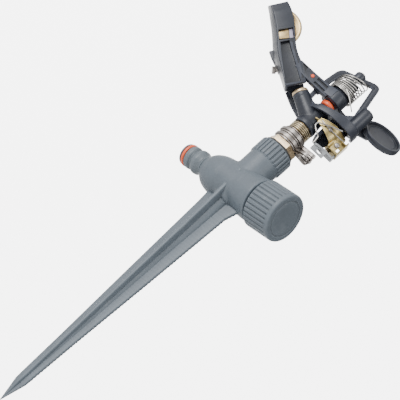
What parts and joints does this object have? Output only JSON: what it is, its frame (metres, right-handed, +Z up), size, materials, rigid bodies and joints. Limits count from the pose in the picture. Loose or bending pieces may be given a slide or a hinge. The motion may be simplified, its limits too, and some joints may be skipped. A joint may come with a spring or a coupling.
{
  "type": "impact sprinkler",
  "caption": "Impact sprinkler head with sprung drive arm, trip gear and collars, standing on a plastic ground spike with a hose nipple and a screw cap.",
  "frame": {"origin": "on the spike axis at the soil line, 24 mm below the axis of the cross pipe", "axes": "+Z up along the spike and the head's turning axis, +X towards the screw cap, -X towards the hose nipple, +Y away from the nearest side in the usual view"},
  "size_m": [0.1201, 0.0803, 0.3289],
  "materials": {
    "grey_plastic": "satin moulded",
    "charcoal_plastic": "satin moulded",
    "orange_plastic": "semi-gloss",
    "brass": "turned, lightly tarnished",
    "olive_brass": "stamped, tarnished",
    "steel": "drawn and stamped",
    "black_rubber": "matt"
  },
  "bodies": {
    "root": {"spike_body": "grey_plastic", "hose_connector": "grey_plastic", "connector_oring": "orange_plastic", "connector_seal": "black_rubber", "bearing_sleeve": "brass", "sleeve_seal": "black_rubber"},
    "cap_travel": {"cap_seal": "black_rubber"},
    "cap": {"end_cap": "grey_plastic"},
    "collar_lower": {"trip_collar_lower": "steel"},
    "collar_upper": {"trip_collar_upper": "steel"},
    "head": {"bearing_tube": "brass", "spring_washer": "steel", "bearing_spring": "steel", "head_housing": "charcoal_plastic", "nozzle": "brass", "fulcrum_pin": "steel", "arm_washer": "orange_plastic", "arm_spring": "steel", "trip_pin": "steel"},
    "arm": {"drive_arm": "charcoal_plastic", "deflector_disc": "brass", "arm_plug": "orange_plastic"},
    "trip": {"trip_lever": "olive_brass", "trip_finger": "grey_plastic", "trip_wire": "steel", "trip_rivet": "steel"},
    "diffuser": {"diffuser_screw": "steel"}
  },
  "joints": [
    {"name": "cap_out", "type": "slide", "parent": "root", "child": "cap_travel", "axis": [1, 0, 0], "range_m": [0, 0.009]},
    {"name": "cap_turn", "type": "hinge", "parent": "cap_travel", "child": "cap", "pos_m": [0.0215, 0, 0.024], "axis": [1, 0, 0], "range_deg": [0, 1786]},
    {"name": "collar_lower_turn", "type": "hinge", "parent": "root", "child": "collar_lower", "pos_m": [0, 0, 0.07], "axis": [0, 0, 1], "continuous": true},
    {"name": "collar_upper_turn", "type": "hinge", "parent": "root", "child": "collar_upper", "pos_m": [0, 0, 0.075], "axis": [0, 0, 1], "continuous": true},
    {"name": "head_turn", "type": "hinge", "parent": "root", "child": "head", "pos_m": [0, 0, 0.084], "axis": [0, 0, 1], "continuous": true},
    {"name": "arm_swing", "type": "hinge", "parent": "head", "child": "arm", "pos_m": [0, 0, 0.116], "axis": [0, 0, 1], "range_deg": [0, 100], "stiffness_Nm_per_rad": 0.02, "springref_deg": -28.65},
    {"name": "trip_swing", "type": "hinge", "parent": "head", "child": "trip", "pos_m": [0.01953, 0.01012, 0.092], "axis": [0, 0, 1], "range_deg": [0, 12]},
    {"name": "diffuser_out", "type": "slide", "parent": "head", "child": "diffuser", "axis": [-0.6233, -0.3231, -0.7121], "range_m": [0, 0.004]}
  ],
  "couplings": [
    {"joint": "cap_out", "follows": "cap_turn", "m_per_rad": 0.00028871}
  ]
}
